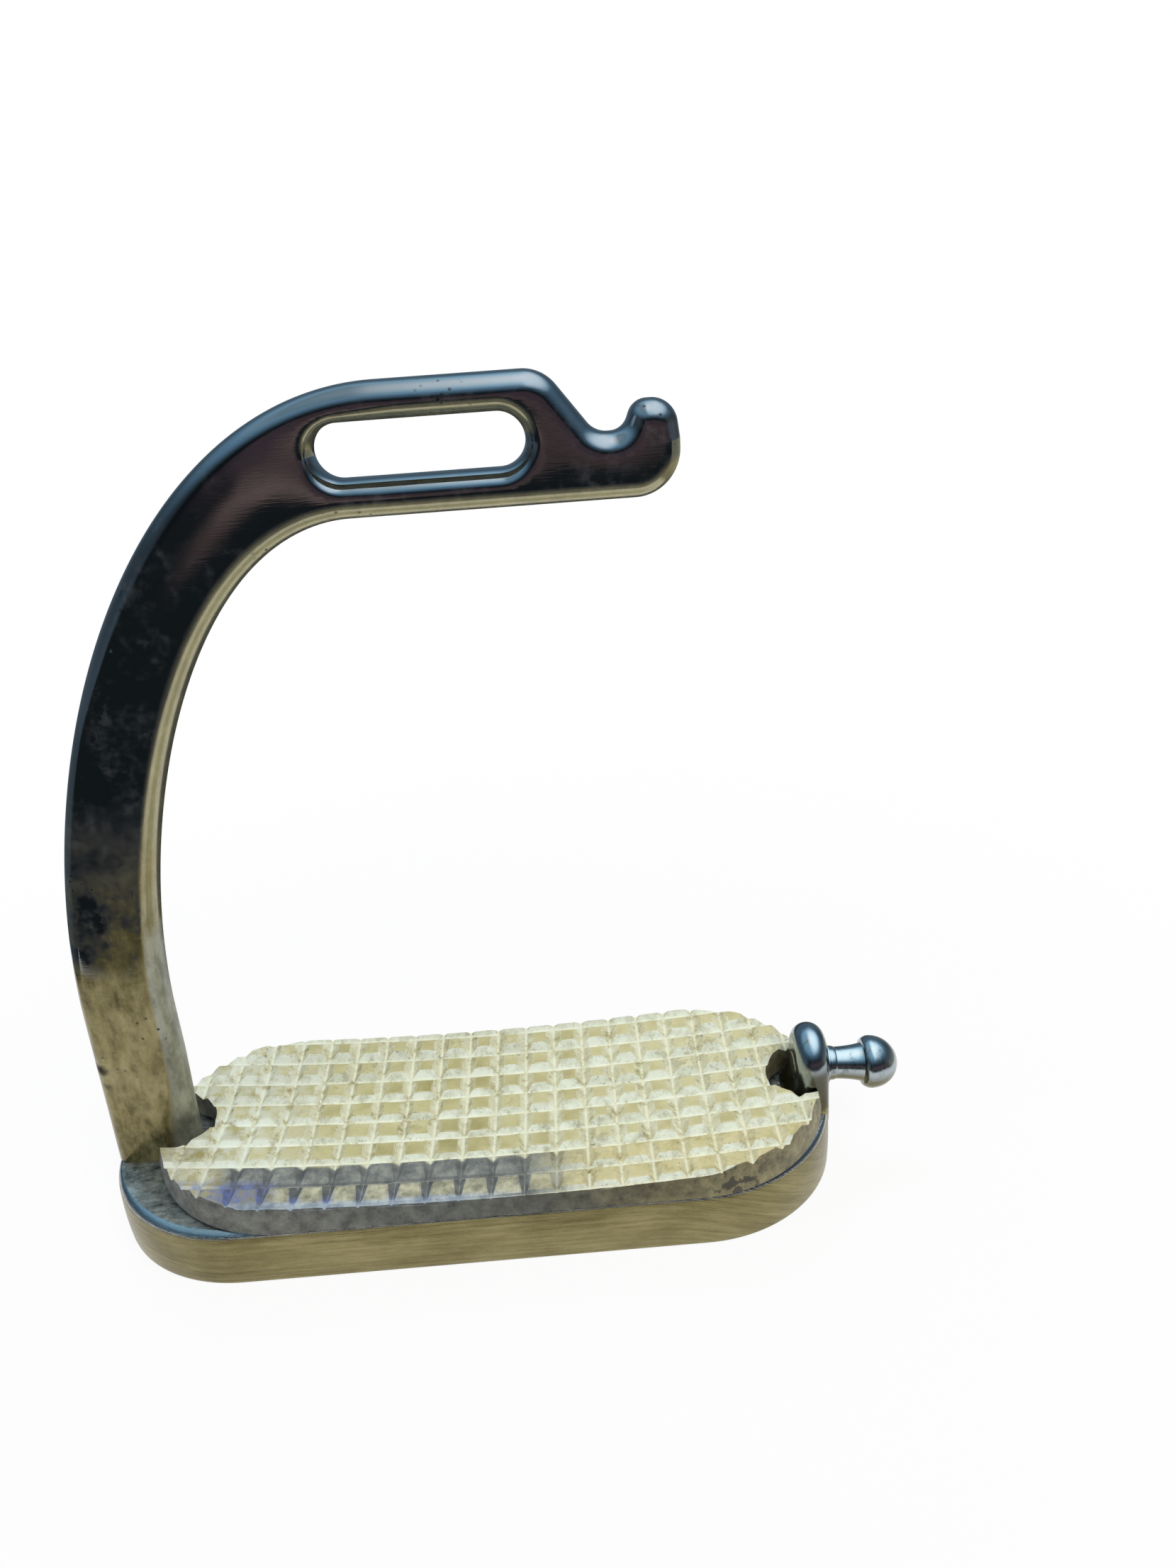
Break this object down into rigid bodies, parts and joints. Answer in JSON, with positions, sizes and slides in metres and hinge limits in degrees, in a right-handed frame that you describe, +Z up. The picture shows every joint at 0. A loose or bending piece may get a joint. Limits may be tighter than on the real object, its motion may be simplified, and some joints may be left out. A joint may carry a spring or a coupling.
{
  "type": "stirrup iron",
  "caption": "One-armed safety stirrup iron with a leather eye, open ring hook, side stud and a grooved rubber tread on a rounded base.",
  "frame": {"origin": "middle of the base's underside, on its cross rib", "axes": "+X towards the stud for the release ring, +Y to the back, +Z up towards the eye for the leather"},
  "size_m": [0.1658, 0.0556, 0.1643],
  "materials": {
    "cast_steel": "worn polish",
    "polished_steel": "polished",
    "turned_steel": "polished",
    "tread_rubber": "matt, stained"
  },
  "bodies": {
    "iron": {"tread_base": "cast_steel", "bow": "polished_steel", "ring_stud": "turned_steel"},
    "tread": {"tread_pad": "tread_rubber"}
  },
  "joints": [
    {"name": "pad_lift", "type": "slide", "parent": "iron", "child": "tread", "axis": [0, 0, 1], "range_m": [0, 0.02]}
  ]
}
